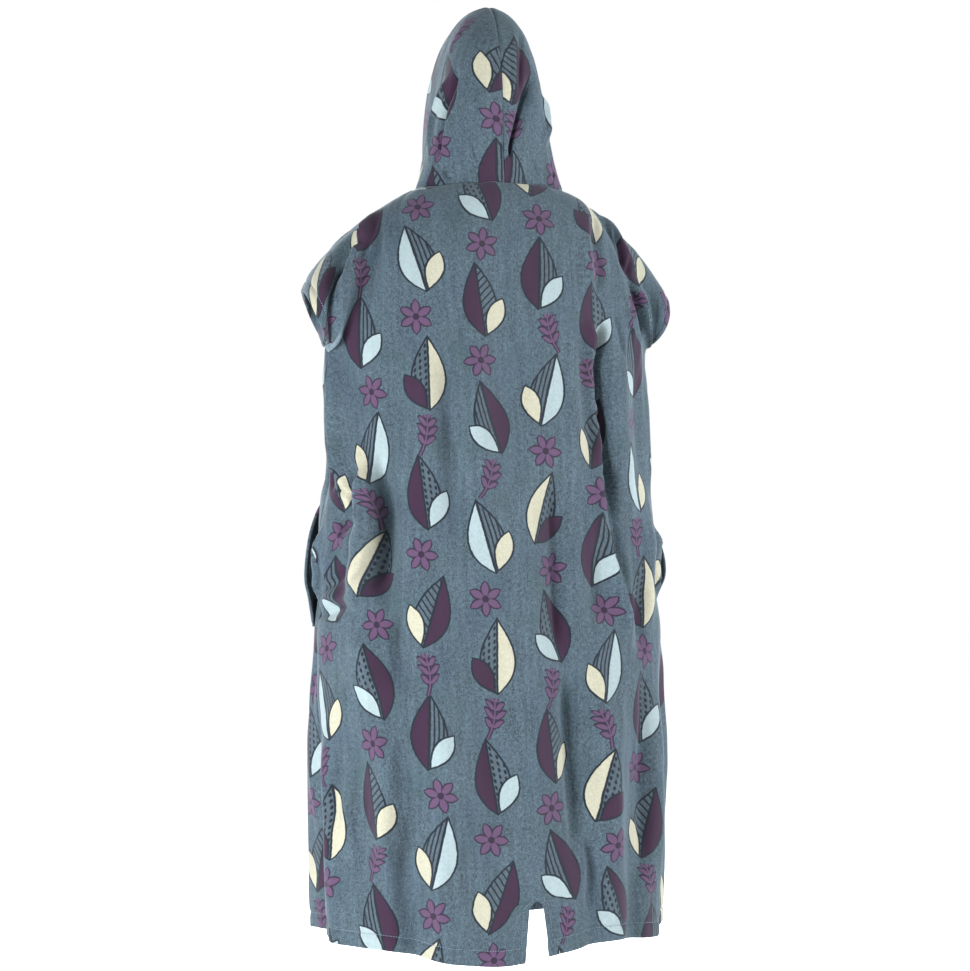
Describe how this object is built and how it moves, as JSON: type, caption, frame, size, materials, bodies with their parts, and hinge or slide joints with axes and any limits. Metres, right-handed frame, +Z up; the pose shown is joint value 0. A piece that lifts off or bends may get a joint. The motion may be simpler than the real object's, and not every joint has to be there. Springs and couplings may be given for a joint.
{
  "type": "hooded bath poncho",
  "caption": "Long hooded bath poncho in its worn form, empty, with short open sleeves, a wide front pocket open at both sides and a small vent in the back hem.",
  "frame": {"origin": "middle of the neck opening, level with the neck seam at the centre back, where the garment is held", "axes": "+Z up the wearer's body; front towards -Y; the wearer's left towards +X"},
  "size_m": [0.5748, 0.386, 1.3741],
  "materials": {
    "velour": "soft cotton velour, heathered grey-blue with a printed pattern"
  },
  "bodies": {
    "root": {"body_back": "velour", "body_front": "velour", "hood_left": "velour", "hood_right": "velour", "pocket": "velour"}
  },
  "joints": []
}
